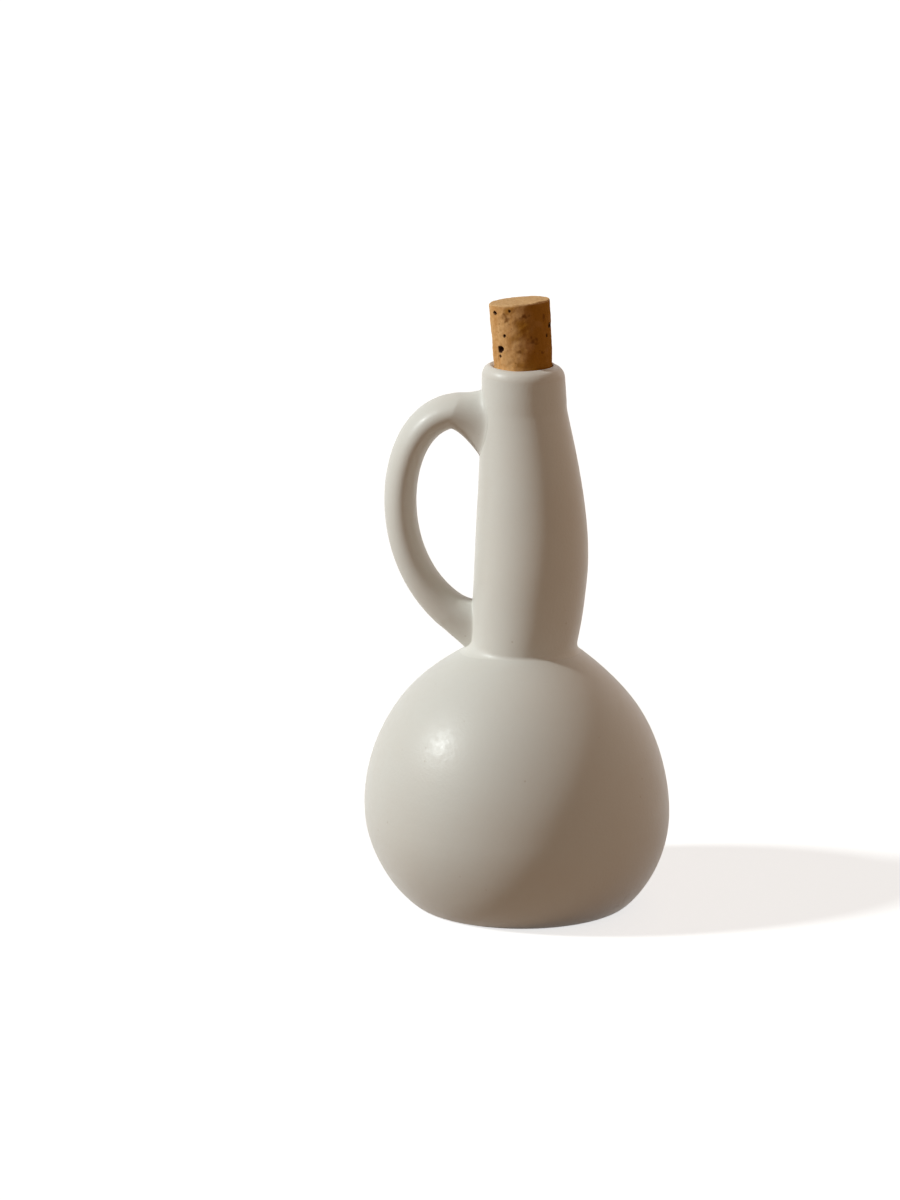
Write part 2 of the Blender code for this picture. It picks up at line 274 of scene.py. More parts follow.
def glazeMaterial(name, speckShare, lightness):
    # Satin glaze: a pale body with warm blotches and sparse specks, thinner and warmer where thinGlaze is
    # marked and bare clay where bareClay is; the skin has a fine orange peel and faint turning lines.
    # Lightness multiplies the glaze's colours; the neck's and the handle's lighter copies of the glaze are
    # painted light
    material, make, shader = newMaterial(name)
    place = make("TexCoord").outputs["Object"]
    thin = make("Attribute", attribute_name="thinGlaze").outputs["Fac"]
    bare = make("Attribute", attribute_name="bareClay").outputs["Fac"]
    cloud = mask(make, blotches, place, glaze["cloud"])
    fine = mask(make, blotches, place, glaze["fine"])
    dots = mask(make, specks, place, {**glaze["dots"], "Share": speckShare})
    body, warm, thinned = ([lightness * value for value in glaze[tone]] + [1]
                           for tone in ("colour", "warm", "thin"))
    warmth = sums(make, (cloud, glaze["cloudWarmth"]), (fine, glaze["fineWarmth"]))
    colour = blend(make, warmth, body, warm)
    colour = blend(make, sums(make, (dots, glaze["dotStrength"])), colour, glaze["speck"])
    colour = blend(make, thin, colour, thinned)
    colour = blend(make, bare, colour, glaze["clay"])
    peel = make("TexNoise", {"Vector": place, "Scale": glaze["peelFineness"], "Detail": 2.0})
    stretched = make("Mapping", {"Vector": place, "Scale": glaze["lineFineness"]})
    lines = make("TexNoise", {"Vector": stretched.outputs["Vector"], "Scale": 1.0, "Detail": 2.0})
    height = sums(make, (peel.outputs["Fac"], glaze["peelHeight"]),
                  (lines.outputs["Fac"], glaze["lineHeight"]), (dots, glaze["dotHeight"]))
    bump = make("Bump", {"Height": height, "Strength": glaze["bumpStrength"], "Distance": glaze["bumpDepth"]})
    rough = make("MapRange", {"Value": fine, "To Min": glaze["roughness"] - glaze["roughnessSpread"],
                              "To Max": glaze["roughness"] + glaze["roughnessSpread"]})
    rough = make("Mix", {0: bare, 2: rough.outputs["Result"], 3: glaze["clayRoughness"]})
    coated = make("MapRange", {"Value": bare, "To Min": glaze["coat"], "To Max": 0.0})
    shader.inputs["Specular IOR Level"].default_value = glaze["gloss"]
    shader.inputs["Coat Roughness"].default_value = glaze["coatRoughness"]
    connect(shader, {"Base Color": colour, "Roughness": rough.outputs[0], "Normal": bump.outputs["Normal"],
                     "Coat Weight": coated.outputs["Result"]})
    return material


# Cork: as for the glaze; the streaks follow the grain, whose three finenesses are along X, Y and Z. The dark
# colour serves both the darker grain and the painted shade on one side
bark = {"colour": (0.67, 0.352, 0.135, 1), "pale": (0.78, 0.465, 0.208, 1), "dark": (0.37, 0.150, 0.010, 1),
        "cut": (0.74, 0.50, 0.27, 1), "darkPitAndShade": (0.035, 0.012, 0.006, 1), "stain": (0.19, 0.066, 0.010, 1),
        "roughness": 0.82, "gloss": 0.04, "grain": (330, 330, 95),
        "streaks": {"Fineness": 1.0, "Low": 0.35, "High": 0.70}, "paintedShadeStrength": 0.92, "cutStrength": 0.8,
        "granules": {"Fineness": 900.0, "Low": 0.35, "High": 0.70}, "granuleStrength": 0.28,
        "granuleHeight": -0.6,
        "tiny": {"Fineness": 2600.0, "Low": 0.30, "High": 0.75}, "tinyStrength": 0.12, "tinyHeight": -0.4,
        "dots": {"Fineness": 620.0, "Size": 0.30, "Share": 0.16}, "dotStrength": 0.55, "dotHeight": -0.9,
        "bumpStrength": 0.6, "bumpDepth": 0.00012}


def corkMaterial(name):
    # Natural cork: pale and dark grain streaks with fine granules, darker with painted shade on the side
    # turned away from the key lamp, paler on the cut ends, stained where stain is marked, and near black in
    # the pits, which is their dark cork together with painted shade
    material, make, shader = newMaterial(name)
    place = make("TexCoord").outputs["Object"]
    darkPitAndShade, stain, cutFace, paintedShadeSide = (make("Attribute", attribute_name=mark).outputs["Fac"]
                                     for mark in ("darkPitAndShade", "stain", "cutFace", "paintedShadeSide"))
    along = make("Mapping", {"Vector": place, "Scale": bark["grain"]}).outputs["Vector"]
    streaks = mask(make, blotches, along, bark["streaks"])
    granules = mask(make, blotches, place, bark["granules"])
    tiny = mask(make, blotches, place, bark["tiny"])
    dots = mask(make, specks, place, bark["dots"])
    colour = blend(make, streaks, bark["pale"], bark["colour"])
    # Painted shade: the side turned away from the key lamp is darkened towards the dark colour
    colour = blend(make, sums(make, (paintedShadeSide, bark["paintedShadeStrength"])), colour, bark["dark"])
    colour = blend(make, sums(make, (cutFace, bark["cutStrength"])), colour, bark["cut"])
    darker = sums(make, (granules, bark["granuleStrength"]), (tiny, bark["tinyStrength"]))
    colour = blend(make, darker, colour, bark["dark"])
    colour = blend(make, sums(make, (dots, bark["dotStrength"])), colour, bark["stain"])
    colour = blend(make, stain, colour, bark["stain"])
    # Near black in the pits: the pits' dark cork together with painted shade in the holes
    colour = blend(make, darkPitAndShade, colour, bark["darkPitAndShade"])
    height = sums(make, (granules, bark["granuleHeight"]), (tiny, bark["tinyHeight"]),
                  (dots, bark["dotHeight"]))
    bump = make("Bump", {"Height": height, "Strength": bark["bumpStrength"], "Distance": bark["bumpDepth"]})
    shader.inputs["Roughness"].default_value = bark["roughness"]
    shader.inputs["Specular IOR Level"].default_value = bark["gloss"]
    connect(shader, {"Base Color": colour, "Normal": bump.outputs["Normal"]})
    return material


print("materials made")

# Globe: turned rings whose centres wander, so that it leans back a little and is drawn forward at the neck
globe = {"equatorHeight": 0.0348, "upperPull": 0.0419, "lowerPull": 0.0212, "seatRadius": 0.0193,
         "shoulderSlope": radians(45.5), "shoulderPull": 0.0059, "footRadius": 0.0398,
         "footSlope": radians(20), "footPull": 0.0021, "footRound": 0.0009, "footRing": 0.0075,
         "footRecess": 0.0018, "recessRamp": 0.004, "ringEdge": 0.0006, "wall": 0.0050, "floor": 0.0060,
         "floorRound": 0.004, "floorPull": 0.001, "hole": 0.0129, "holeRound": 0.001, "holePull": 0.004,
         "holeClear": 0.002, "pole": 0.0005, "footShift": 0.0012, "leanBack": 0.0673, "leanBend": 0.521,
         "drawStart": 0.0720, "drawForward": 0.0019, "drawPower": 2.9, "lineRise": 0.0046,
         "lineDepth": 0.000004, "dentSpan": 0.045, "dentDepth": 0.00009, "dentSeed": 3,
         "fadeIn": (0.004, 0.016), "fadeOut": (0.084, 0.093), "specks": 0.16, "lightness": 1.0, "steps": 288}
equator = np.array((globeHigh.x, globe["equatorHeight"]))


def globeOutline():
    # Outside from the foot up to the neck's seat: two cubics that meet upright at the equator
    foot, seat = np.array((globe["footRadius"], 0)), np.array((globe["seatRadius"], seatHeight))
    upFoot = np.array((cos(globe["footSlope"]), sin(globe["footSlope"])))
    downShoulder = np.array((cos(globe["shoulderSlope"]), -sin(globe["shoulderSlope"])))
    lower = cubic(foot, foot + globe["footPull"] * upFoot, equator - (0, globe["lowerPull"]), equator)
    upper = cubic(equator, equator + (0, globe["upperPull"]), seat + globe["shoulderPull"] * downShoulder,
                  seat)
    return np.vstack((lower, upper[1:]))


globeProfile = globeOutline()


def globeCentre(height):
    # How far forward a ring's centre is: a parabola of the height, plus a steep power of it near the neck
    drawn = np.clip((height - globe["drawStart"]) / (seatHeight - globe["drawStart"]), 0, None)
    lean = globe["footShift"] - globe["leanBack"] * height + globe["leanBend"] * height**2
    return lean + globe["drawForward"] * drawn**globe["drawPower"]


def globeSurface(angle, height):
    # Point of the shoulder at an angle and a height
    upper = globeProfile[globeProfile[:, 1] > globe["equatorHeight"]]
    radius = np.interp(height, upper[:, 1], upper[:, 0])
    return np.stack((globeCentre(height) + radius * np.cos(angle), radius * np.sin(angle),
                     height + 0 * angle), -1)


def globeRings():
    # From the middle of the underside over the foot, up the outside, over the seat and down the inside to
    # the floor; the inside follows the outside, a wall's thickness in along its normals
    foot, bevel, pole = globe["footRadius"], globe["footRound"], globe["pole"]
    recess, ramp, inner = globe["footRecess"], globe["recessRamp"], globe["footRadius"] - globe["footRing"]
    ringStart = inner + globe["ringEdge"]
    hole, holeTurn, floor = globe["hole"], globe["holeRound"], globe["footRecess"] + globe["floor"]
    wallStart = globeProfile[np.linalg.norm(globeProfile - globeProfile[0], axis=1) > bevel]
    tangents = np.gradient(globeProfile, axis=0)
    tangents /= np.linalg.norm(tangents, axis=1)[:, None]
    inside = globeProfile + globe["wall"] * np.column_stack((-tangents[:, 1], tangents[:, 0]))
    kept = (inside[:, 1] > floor + globe["floorRound"]) & (inside[:, 0] > hole + globe["holeClear"])
    inside = inside[kept][::-1]
    floorRadius = inside[-1, 0] - globe["floorRound"]
    parts = [
        evenly(np.array(((pole, recess), (inner - ramp, recess))), 14),
        evenly(cubic((inner - ramp, recess), (inner - ramp / 2, recess), (inner - ramp / 4, 0),
                     (ringStart, 0)), 14)[1:],
        evenly(np.array(((ringStart, 0), (foot - bevel, 0))), 8)[1:],
        evenly(corner((foot - bevel, 0), (foot, 0), wallStart[0]), 8)[1:],
        evenly(wallStart, 150)[1:],
        evenly(np.array((wallStart[-1], (hole + holeTurn, seatHeight))), 5)[1:],
        evenly(corner((hole + holeTurn, seatHeight), (hole, seatHeight),
                      (hole, seatHeight - holeTurn)), 5)[1:],
        evenly(cubic((hole, seatHeight - holeTurn), (hole, seatHeight - globe["holePull"]),
                     inside[0] + (-holeTurn, holeTurn), inside[0]), 8)[1:],
        evenly(inside, 44)[1:],
        evenly(corner(inside[-1], (inside[-1, 0] - globe["floorPull"], floor), (floorRadius, floor)), 8)[1:],
        evenly(np.array(((floorRadius, floor), (pole, floor))), 12)[1:],
    ]
    profile = np.vstack(parts)
    ends = np.cumsum([len(part) for part in parts])
    ringNumber = np.arange(len(profile))
    outside = (ringNumber >= ends[3]) & (ringNumber < ends[4])
    radius, height = profile.T
    angle = around(globe["steps"])
    upright = np.stack((np.cos(angle), np.sin(angle), 0 * angle), -1)
    rings = radius[:, None, None] * upright
    rings[..., 0] += globeCentre(height)[:, None]
    rings[..., 2] += height[:, None]
    # Faint spiral turning lines and shallow dents, which fade out at the foot and at the neck
    fade = (outside * smooth(height, *globe["fadeIn"]) * (1 - smooth(height, *globe["fadeOut"])))[:, None]
    spiral = np.cos(2 * pi * height[:, None] / globe["lineRise"] + angle)
    dents = ripple(rings, globe["dentSpan"], globe["dentSeed"])
    swell = globe["lineDepth"] * spiral + globe["dentDepth"] * dents
    rings += (fade * swell)[..., None] * upright
    # Bare clay from part way up the recess's ramp to just short of the wall
    bareClay = ((ringNumber >= ends[0] + 4) & (ringNumber < ends[3] - 2)).astype(float)
    return rings, bareClay[:, None]


globeSkin, globeBare = globeRings()
globeGlaze = glazeMaterial("globeGlaze", globe["specks"], globe["lightness"])
globePiece = addPiece("globeSkin", globeSkin, globeGlaze, {"bareClay": globeBare, "thinGlaze": 0.0})
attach(globePiece, "vessel")
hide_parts("globe_body")

# Neck: level circles that span a back and a front outline, with a fillet on the globe and a rounded lip
neck = {"wall": 0.0045, "back": 0.0178, "backPull": 0.0151, "front": 0.0212, "frontLean": radians(11.3),
        "frontPull": 0.0116, "bellyFront": 0.02535, "bellyHeight": 0.0319, "bellyPullDown": 0.0078,
        "bellyPullUp": 0.0274, "collarDrop": 0.0153, "collarFlare": 0.0009, "collarPull": 0.0030,
        "mouthOffset": 0.0013, "lipRound": 0.0029, "lipRise": 0.0040, "lipFlat": 0.0006,
        "mouthRound": 0.0008, "mouthDip": radians(2.0), "dipStart": 0.016, "lipThin": 0.35,
        "filletSide": 0.0009, "filletBack": 0.0038, "filletFront": 0.0025, "filletSink": 0.00003,
        "creaseDrop": 0.0001, "boreEnd": 0.0005, "dentSpan": 0.030, "dentDepth": 0.00006, "dentSeed": 11,
        "lineRise": 0.0050, "lineDepth": 0.000004, "fadeIn": (0.004, 0.012), "fadeOut": 0.008,
        "specks": 0.12, "lightness": 1.06, "steps": 256}
# The cork's own sizes stand here because the neck's socket follows them
cork = {"topRadius": 0.0109, "footRadius": 0.01005, "seated": 0.0142, "showing": 0.0241, "edge": 0.0006,
        "gap": 0.0003, "topSkew": (0.026, 0.030), "skewStart": 0.024, "bulge": 0.0003, "bulgeRise": 0.0050,
        "pole": 0.0003}
mouthMiddle = np.array((neck["mouthOffset"], 0, mouthHeight))
corkAcross = np.array((corkAxis[2], 0, -corkAxis[0]))      # level with the cork's rings, towards the front
corkTaper = (cork["topRadius"] - cork["footRadius"]) / (cork["showing"] + cork["seated"])
socketRadius = cork["topRadius"] - corkTaper * cork["showing"] + cork["gap"]
mouthRadius = socketRadius + neck["mouthRound"] + neck["lipFlat"] + neck["lipRound"]


def neckOutlines(height):
    # Back outline: a parabola from foot to mouth. Front outline: two cubics that meet upright at the belly
    t = (height - seatHeight) / (mouthHeight - seatHeight)
    top = mouthRadius - mouthMiddle[0]
    back = (1 - t)**2 * neck["back"] + 2 * t * (1 - t) * neck["backPull"] + t**2 * top
    foot = np.array((neck["front"], seatHeight))
    belly = np.array((neck["bellyFront"], seatHeight + neck["bellyHeight"]))
    mouth = np.array((mouthMiddle[0] + mouthRadius, mouthHeight))
    collar = mouth + (neck["collarFlare"], -neck["collarDrop"])
    lean = np.array((sin(neck["frontLean"]), cos(neck["frontLean"])))
    lower = cubic(foot, foot + neck["frontPull"] * lean, belly - (0, neck["bellyPullDown"]), belly)
    upper = cubic(belly, belly + (0, neck["bellyPullUp"]), collar - (0, neck["collarPull"]), collar)
    front = np.vstack((lower, upper[1:], mouth))
    return back, np.interp(height, front[:, 1], front[:, 0])


def neckSection(height):
    # Centre, along X, and radius of the level circle at a height
    back, front = neckOutlines(height)
    return (front - back) / 2, (front + back) / 2


def neckSurface(angle, height, inwards=0.0):
    # Point of the neck's outside, or of a surface so far inside it, at an angle and a height
    centre, radius = neckSection(height)
    radius = radius - inwards
    return np.stack((centre + radius * np.cos(angle), radius * np.sin(angle), height + 0 * angle), -1)


def socketRing(depth, radius, angle):
    # Ring about the cork's leaning axis at a depth below the mouth
    across = np.cos(angle)[:, None] * corkAcross + np.sin(angle)[:, None] * np.array((0, 1, 0))
    return mouthMiddle - depth * corkAxis + radius * across


def neckRings():
    # From the fillet on the globe up the outside, over the lip and its narrow flat, down the socket and the
    # bore to the seat. The fillet is narrow at the sides and widens to the back and to the front with the
    # squared cosine of the angle
    angle = around(neck["steps"])
    level = 0 * angle
    crease = seatHeight - neck["creaseDrop"]
    wide = np.where(np.cos(angle) < 0, neck["filletBack"], neck["filletFront"])
    fillet = neck["filletSide"] + (wide - neck["filletSide"]) * np.cos(angle)**2
    onNeck = neckSurface(angle, crease + fillet)
    onGlobe = globeSurface(angle, crease - fillet * sin(globe["shoulderSlope"])) - (0, 0, neck["filletSink"])
    between = (neckSurface(angle, crease + level) + globeSurface(angle, crease + level)) / 2
    t = np.linspace(0, 1, 14)[:, None, None]
    foot = (1 - t)**2 * onGlobe + 2 * t * (1 - t) * between + t**2 * onNeck
    lipStart = mouthHeight - neck["lipRise"]
    share = np.linspace(0, 1, 170)[1:, None]
    wall = neckSurface(angle, (crease + fillet) * (1 - share) + lipStart * share)
    turn = np.linspace(0, pi / 2, 16)[1:, None]
    lip = neckSurface(angle, lipStart + neck["lipRise"] * np.sin(turn) + level,
                      neck["lipRound"] * (1 - np.cos(turn)))
    turn = np.linspace(pi / 2, 0, 14)
    roundDepths = neck["mouthRound"] * (1 - np.sin(turn))
    roundRadii = socketRadius - corkTaper * roundDepths + neck["mouthRound"] * (1 - np.cos(turn))
    mouth = np.stack([socketRing(depth, radius, angle) for depth, radius in zip(roundDepths, roundRadii)])
    depths = np.linspace(neck["mouthRound"], cork["seated"] + cork["gap"], 16)[1:]
    socket = np.stack([socketRing(depth, socketRadius - corkTaper * depth, angle) for depth in depths])
    boreHeights = np.linspace(mouthHeight - cork["seated"] - neck["wall"], seatHeight - neck["boreEnd"], 40)
    bore = neckSurface(angle, boreHeights[:, None] + level, neck["wall"])
    rings = np.concatenate((foot, wall, lip, mouth, socket, bore))
    outer = len(foot) + len(wall)
    # Shallow dents and faint spiral turning lines on the outside only
    height = rings[:outer, :, 2]
    fadeIn = smooth(height, crease + neck["fadeIn"][0], crease + neck["fadeIn"][1])
    fade = fadeIn * (1 - smooth(height, lipStart - neck["fadeOut"], lipStart))
    swell = neck["dentDepth"] * ripple(rings[:outer], neck["dentSpan"], neck["dentSeed"])
    swell += neck["lineDepth"] * np.cos(2 * pi * height / neck["lineRise"] + angle)
    rings[:outer] += (fade * swell)[..., None] * np.stack((np.cos(angle), np.sin(angle), level), -1)
    # The mouth dips towards the front: heights shear with x, more and more towards the lip
    dip = smooth(rings[..., 2], mouthHeight - neck["dipStart"], mouthHeight)
    rings[..., 2] -= tan(neck["mouthDip"]) * dip * (rings[..., 0] - mouthMiddle[0])
    # The glaze runs thin over the lip
    thin = np.zeros(len(rings))
    thin[outer:outer + len(lip) + len(mouth)] = neck["lipThin"]
    return rings, thin[:, None]


neckSkin, neckThin = neckRings()
# The neck's glaze is 6 % lighter than the globe's: painted light, which brightens the neck
neckGlaze = glazeMaterial("neckGlaze", neck["specks"], neck["lightness"])
neckPiece = addPiece("neckSkin", neckSkin, neckGlaze, {"bareClay": 0.0, "thinGlaze": neckThin}, joined=True)
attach(neckPiece, "vessel")
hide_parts("neck")

# Handle: an oval strap carried along a path in the XZ plane, both ends flared out over the neck's back
handle = {"thickness": 0.01174, "width": 0.0192, "footWidth": 0.0150, "taperStart": 0.45,
          "twist": radians(10), "crestReach": 0.0205, "crestDrop": 0.0170, "crestTilt": radians(1.2),
          "crestPull": 0.0175, "reach": 0.0440, "sideHeight": 0.0535, "sidePullUp": 0.0147,
          "sidePullDown": 0.0222, "footReach": 0.0169, "footRise": 0.0078, "footSlope": radians(22.1),
          "footPull": 0.0169, "topSwell": 0.0006, "footSwell": 0.0041, "innerStart": 0.067, "barEnd": 0.90,
          "skirtSize": 1.06, "skirtSink": 0.0006, "sunkSize": 0.7, "sunkSink": 0.0015, "specks": 0.10,
          "lightness": 1.04, "pathPoints": 400, "barRings": 220, "steps": 96, "flareRings": 30}
# Each root: its loop's place above its base and its extents, how far the strap's outer and inner side run on
# straight, and how strongly the flare turns onto the neck at the loop's ends and at its sides
topRoot = {"base": mouthHeight, "outerSide": 1, "height": -0.0203, "outerReach": 0.0112,
           "innerReach": 0.0135, "half": 0.0105, "outerLeave": 0.32, "innerLeave": 0.52,
           "arriveEnds": 0.0025, "arriveSides": 0.0100}
footRoot = {"base": seatHeight, "outerSide": -1, "height": 0.0090, "outerReach": 0.0122,
            "innerReach": 0.0080, "half": 0.0078, "outerLeave": 0.55, "innerLeave": 0.67,
            "arriveEnds": 0.0015, "arriveSides": 0.0032}


def handlePath():
    # Centre line from the crest round the side to the lower root: two cubics that meet upright
    crest = np.array((-handle["crestReach"], mouthHeight - handle["crestDrop"]))
    side = np.array((-handle["reach"], seatHeight + handle["sideHeight"]))
    foot = np.array((-handle["footReach"], seatHeight + handle["footRise"]))
    inFoot = np.array((cos(handle["footSlope"]), -sin(handle["footSlope"])))
    back, up = np.array((-cos(handle["crestTilt"]), -sin(handle["crestTilt"]))), np.array((0, 1))
    return np.vstack((
        cubic(crest, crest + handle["crestPull"] * back, side + handle["sidePullUp"] * up, side),
        cubic(side, side - handle["sidePullDown"] * up, foot - handle["footPull"] * inFoot, foot)[1:]))


def rootLoop(root, size, angle):
    # Loop on the neck's back: an upright oval with its own reach on the handle's outer and inner side, laid
    # on the neck's surface along X
    outer = np.cos(angle)
    reach = root["outerReach"] * np.maximum(outer, 0) + root["innerReach"] * np.minimum(outer, 0)
    height = root["base"] + root["height"] + root["outerSide"] * size * reach
    aside = size * root["half"] * np.sin(angle)
    centre, radius = neckSection(height)
    return np.stack((centre - np.sqrt(radius**2 - aside**2), aside, height), -1)


def unit(vectors):
    # The same vectors at length 1: each divided by the root of its squares' sum
    return vectors / np.linalg.norm(vectors, axis=-1)[..., None]


def flare(ring, heading, root, angle):
    # Rings from the strap's end ring to the loop on the neck. Each point follows a Hermite curve that leaves
    # along the strap and arrives along the neck's surface. Two last rings lie in the neck's wall: a skirt a
    # little wider than the loop, and a smaller ring sunk deeper, which closes the end
    outer = np.cos(angle)
    loop = rootLoop(root, 1.0, angle)
    span = np.linalg.norm(loop - ring, axis=1)
    run = (root["outerLeave"] * (1 + outer) + root["innerLeave"] * (1 - outer)) / 2
    leave = (run * span)[:, None] * heading
    spread = root["arriveEnds"] + (root["arriveSides"] - root["arriveEnds"]) * np.sin(angle)**2
    arrive = spread[:, None] * unit(loop - rootLoop(root, 0.9, angle))
    t = np.linspace(0, 1, handle["flareRings"])[1:, None, None]
    rings = ((2 * t**3 - 3 * t**2 + 1) * ring + (t**3 - 2 * t**2 + t) * leave
             + (3 * t**2 - 2 * t**3) * loop + (t**3 - t**2) * arrive)
    skirt = rootLoop(root, handle["skirtSize"], angle) + (handle["skirtSink"], 0, 0)
    sunk = rootLoop(root, handle["sunkSize"], angle) + (handle["sunkSink"], 0, 0)
    return np.concatenate((rings, skirt[None], sunk[None]))


def handleRings():
    # Oval rings along the path with a flare at each end. The width tapers to the foot, and the oval turns
    # about the path by the twist, most half way and not at the ends. Rings near the upper root lean, because
    # the inner side of the strap turns off into its flare sooner than the outer side
    angle = around(handle["steps"])
    start = handle["innerStart"] * (1 - np.cos(angle)) / 2
    along = np.linspace(0, 1, handle["barRings"])[:, None]
    share = start * (1 - along) + handle["barEnd"] * along
    path = evenly(handlePath(), handle["pathPoints"])
    tangent = unit(np.gradient(path, axis=0))
    atPoint = np.linspace(0, 1, handle["pathPoints"])
    pathX, pathZ, headX, headZ = (np.interp(share, atPoint, column) for column in (*path.T, *tangent.T))
    thick = handle["thickness"] + handle["topSwell"] * (1 - share)**4 + handle["footSwell"] * share**6
    taper = smooth(share, handle["taperStart"], 1)
    wide = handle["width"] + (handle["footWidth"] - handle["width"]) * taper
    flat, broad = thick / 2 * np.cos(angle), wide / 2 * np.sin(angle)
    turn = handle["twist"] * (1 - (2 * share - 1)**4)
    outward = flat * np.cos(turn) + broad * np.sin(turn)
    aside = broad * np.cos(turn) - flat * np.sin(turn)
    rings = np.stack((pathX + outward * headZ, aside, pathZ - outward * headX), -1)
    heading = np.stack((headX, 0 * share, headZ), -1)
    upper = flare(rings[0], -heading[0], topRoot, angle)[::-1]
    lower = flare(rings[-1], heading[-1], footRoot, angle)
    return np.concatenate((upper, rings, lower))


handleSkin = handleRings()
# The handle's glaze is 4 % lighter than the globe's: painted light, standing in for light that the handle's
# inner side lacks
handleGlaze = glazeMaterial("handleGlaze", handle["specks"], handle["lightness"])
handlePiece = addPiece("handleSkin", handleSkin, handleGlaze, {"bareClay": 0.0, "thinGlaze": 0.0})
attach(handlePiece, "vessel")
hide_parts("handle")

# Cork: a tapered plug about its leaning axis, with worn edges, pits and shallow stains
corkSurface = {"steps": 256, "sideRings": 150, "endRings": 36, "edgeRings": 8, "grainSpan": 0.0022,
               "grainDepth": 0.00004, "grainSeed": 21, "lumpSpan": 0.009, "lumpDepth": 0.00005,
               "lumpSeed": 22, "seed": 5, "wobbleSpan": 0.0014, "pitWobble": 0.10, "pressEdge": (0.40, 1.05),
               "pitEdge": (0.85, 1.20), "stainWobble": 0.35, "stainEdge": (0.3, 1.5), "stainStrength": 0.75,
               # The painted shade on one side of the cork: its turn, wobble, span, seed and edge
               "paintedShadeTurn": radians(63), "paintedShadeWobble": 0.08, "paintedShadeSpan": 0.006, "paintedShadeSeed": 23,
               "paintedShadeEdge": (0.45, 0.95)}
# Each pit: degrees right of the photographed side, depth below the top, size across and along, and depth (mm)
corkPits = [(-54.5, 2.9, 2.0, 1.5, 0.9), (-33.5, 11.3, 1.3, 1.2, 0.7), (-45.5, 16.2, 2.8, 2.6, 1.5),
            (-48.5, 18.9, 1.1, 1.1, 0.7), (72.5, 9.3, 2.4, 2.2, 1.2), (-19.5, 2.1, 0.9, 1.1, 0.5),
            (58.5, 12.6, 0.9, 1.3, 0.7)]
# Each stain: as a pit, without its depth
corkStains = [(9.5, 4.4, 2.9, 1.2), (-6.5, 17.2, 2.0, 1.2), (41.5, 18.4, 1.7, 1.0), (24.5, 13.8, 3.2, 2.2),
              (50.5, 5.8, 1.4, 2.4), (-27.5, 4.8, 2.0, 2.8)]
# More pits on the sides that the photograph doesn't show: how many, and the least and most of each value
strayPits = {"count": 26, "degrees": (95, 265), "below": (1, 36), "across": (0.5, 1.9), "along": (0.5, 1.6),
             "deep": (0.4, 1.1)}


